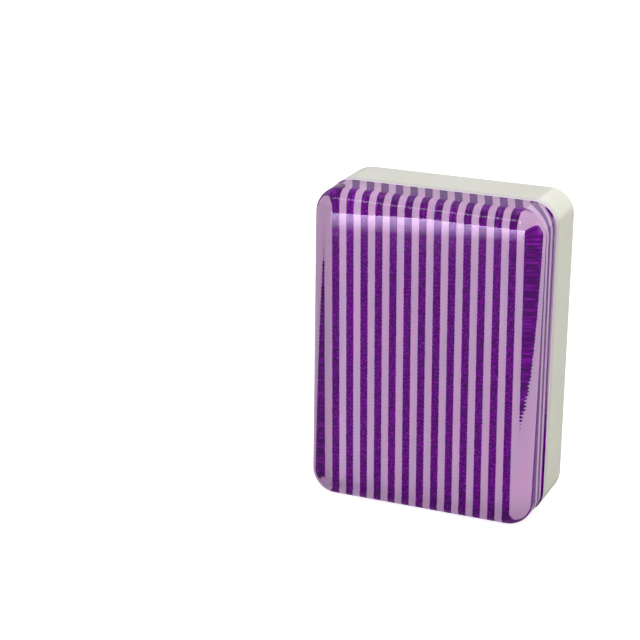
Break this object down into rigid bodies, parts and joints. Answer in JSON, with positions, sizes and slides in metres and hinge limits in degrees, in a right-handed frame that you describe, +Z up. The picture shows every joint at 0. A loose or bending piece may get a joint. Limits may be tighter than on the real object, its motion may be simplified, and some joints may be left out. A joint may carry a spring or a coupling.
{
  "type": "mahjong tile",
  "caption": "Upright rounded game tile: a white block with engraved, enamelled face marks, glued to a clear back over a purple striped sheet.",
  "frame": {"origin": "middle of the short end that the tile stands on", "axes": "+Z up the tile's height, +Y out of the clear back, -Y out of the engraved face, +X across"},
  "size_m": [0.022, 0.0104, 0.03],
  "materials": {
    "white_block": "polished white moulded block",
    "glue": "clear adhesive line, polished flush",
    "lavender_film": "lavender film, halftone printed",
    "purple_ink": "dark purple printed stripe",
    "clear_acrylic": "polished clear acrylic",
    "black_enamel": "glossy enamel fill",
    "green_enamel": "glossy enamel fill",
    "red_enamel": "glossy enamel fill"
  },
  "bodies": {
    "root": {"face_block": "white_block", "front_bond": "glue", "stripe_sheet": "lavender_film", "printed_stripes": "purple_ink", "back_bond": "glue", "clear_back": "clear_acrylic", "ring_enamel": "black_enamel", "boss_enamel": "red_enamel", "petal_enamel_1": "green_enamel", "petal_enamel_2": "green_enamel", "petal_enamel_3": "green_enamel", "petal_enamel_4": "green_enamel", "petal_enamel_5": "green_enamel", "petal_enamel_6": "green_enamel", "petal_enamel_7": "green_enamel", "petal_enamel_8": "green_enamel", "blossom_enamel_1": "red_enamel", "blossom_enamel_2": "red_enamel", "blossom_enamel_3": "red_enamel", "blossom_enamel_4": "red_enamel"}
  },
  "joints": []
}
